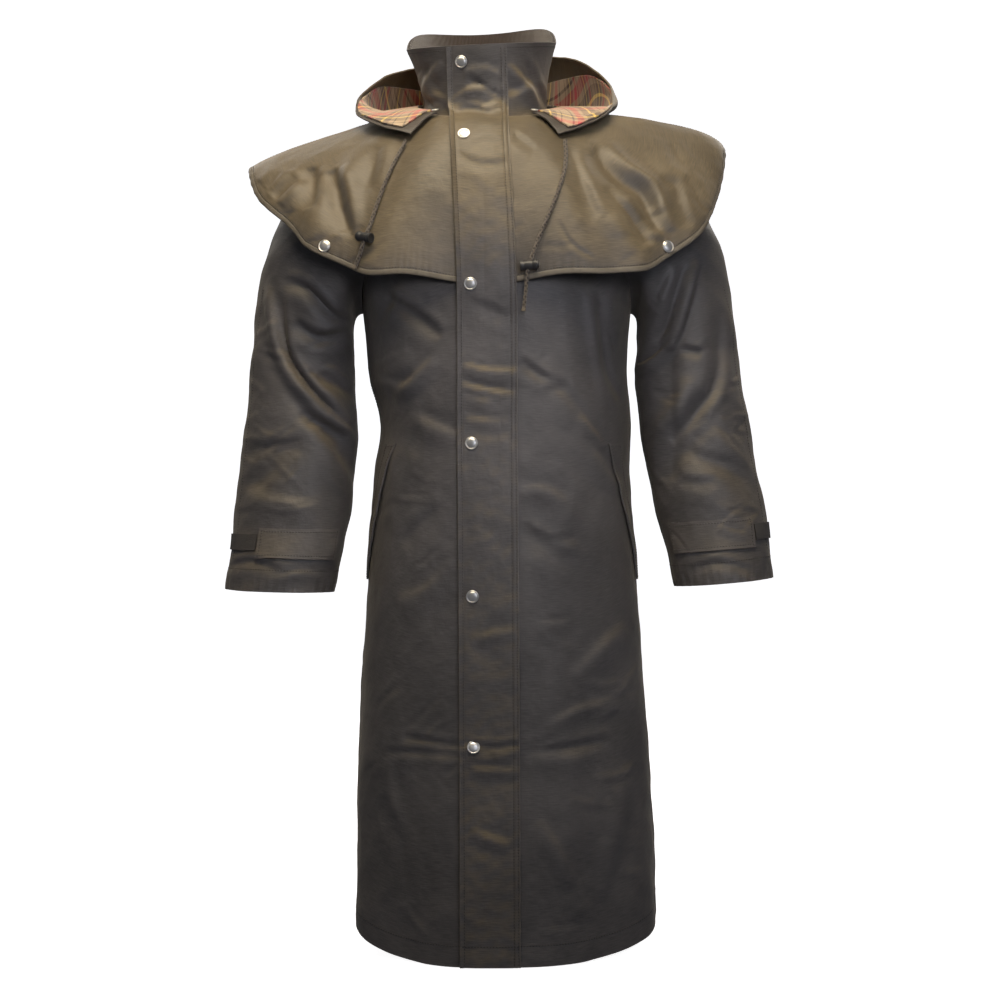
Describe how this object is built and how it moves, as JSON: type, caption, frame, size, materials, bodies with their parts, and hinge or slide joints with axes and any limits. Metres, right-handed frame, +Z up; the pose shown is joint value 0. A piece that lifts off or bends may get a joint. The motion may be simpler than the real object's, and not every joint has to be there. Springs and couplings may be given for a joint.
{
  "type": "cape coat",
  "caption": "Full-length waxed coat in worn form, with a shoulder cape, stand collar, lowered hood with drawcords, and a storm flap closed by snaps over the front.",
  "frame": {"origin": "between the shoulders at the neck's base, where the wearer carries the coat", "axes": "+Z up, the coat faces -Y, +X is the wearer's left"},
  "size_m": [0.7535, 0.4134, 1.2834],
  "materials": {
    "shell": "waxed-look olive brown cloth with a low sheen",
    "binding": "folded olive binding",
    "check_lining": "brushed cotton, plain check of tan, dark brown, red and yellow",
    "collar_lining": "dark brown fine pile",
    "snap": "plain nickel cap",
    "hook_tape": "dark hook tape",
    "cord": "braided brown cord",
    "lock": "black moulded plastic"
  },
  "bodies": {
    "root": {"front_right": "shell", "front_left": "shell", "back": "shell", "storm_flap": "shell", "collar": "shell", "collar_lining": "collar_lining", "cape_front_right": "shell", "cape_front_left": "shell", "cape_back": "shell", "cape_binding": "binding", "hood": "shell", "hood_lining": "check_lining", "sleeve_right": "shell", "sleeve_left": "shell", "cuff_tab_right": "shell", "cuff_tab_left": "shell", "hook_tape_right": "hook_tape", "hook_tape_left": "hook_tape", "pocket_welt_right": "shell", "pocket_welt_left": "shell", "flap_snap_1": "snap", "flap_snap_2": "snap", "flap_snap_3": "snap", "flap_snap_4": "snap", "flap_snap_5": "snap", "flap_snap_6": "snap", "cape_snap_right": "snap", "cape_snap_left": "snap", "hood_snap_right": "snap", "hood_snap_left": "snap", "drawcord_right": "cord", "drawcord_left": "cord", "drawcord_tail_right": "cord", "drawcord_tail_left": "cord", "cord_lock_right": "lock", "cord_lock_left": "lock"}
  },
  "joints": []
}
